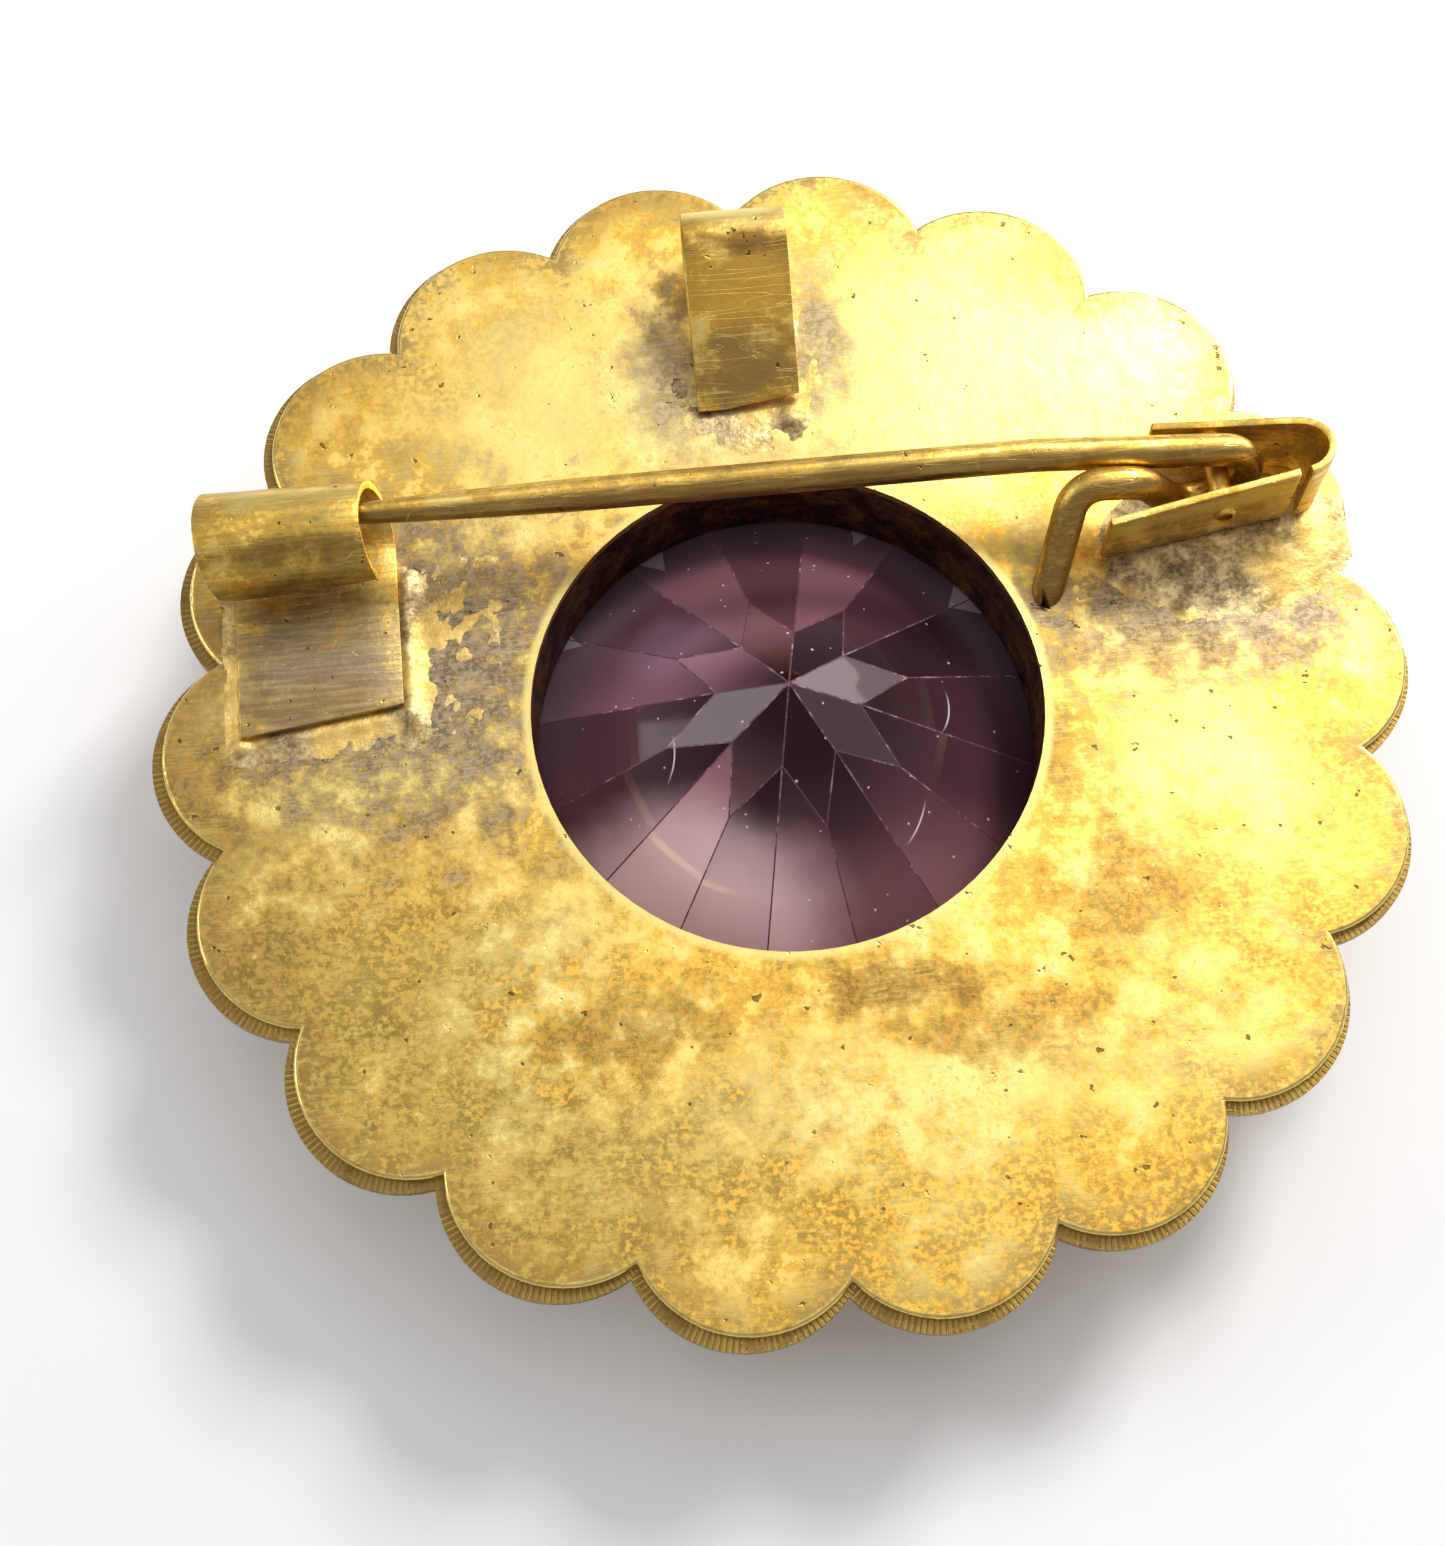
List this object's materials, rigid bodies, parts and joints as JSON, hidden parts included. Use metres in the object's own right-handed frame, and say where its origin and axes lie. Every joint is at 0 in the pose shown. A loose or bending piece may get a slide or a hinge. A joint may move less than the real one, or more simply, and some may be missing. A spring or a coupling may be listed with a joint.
{
  "type": "brooch",
  "caption": "Round scalloped metal brooch with a large faceted stone in a claw setting, a hinged pin, a rolled catch and a pendant loop.",
  "frame": {"origin": "middle of the stone's table, the flat front facet that the brooch lies on when it is face down", "axes": "+Z out of the back of the brooch, away from the stone; +X along the pin stem from the catch to the hinge; +Y towards the pendant bail, which is the top when worn"},
  "size_m": [0.0455, 0.045, 0.0109],
  "materials": {
    "plate_gilt": "worn satin gilding with brown tarnish",
    "shell_gilt": "satin gilding, rim milled with fine lines",
    "bearer_tarnish": "dark brown tarnish",
    "setting_gilt": "polished gilding",
    "stone_glass": "polished facets, plum purple",
    "fitting_gilt": "worn gilding, scratched",
    "pin_gilt": "drawn wire, worn gilding",
    "solder": "grey soft solder, rough"
  },
  "bodies": {
    "brooch_body": {"back_plate": "plate_gilt", "front_shell": "shell_gilt", "stone_bearer": "bearer_tarnish", "stone_setting": "setting_gilt", "setting_wire": "setting_gilt", "stone": "stone_glass", "catch": "fitting_gilt", "hinge_bracket": "fitting_gilt", "hinge_rivet": "fitting_gilt", "pendant_bail": "fitting_gilt", "catch_solder": "solder", "hinge_solder": "solder", "bail_solder": "solder"},
    "pin": {"pin_wire": "pin_gilt"}
  },
  "joints": [
    {"name": "pin_swing", "type": "hinge", "parent": "brooch_body", "child": "pin", "pos_m": [0.0164, 0.007, 0.0088], "axis": [0, 1, 0], "range_deg": [0, 110]}
  ]
}
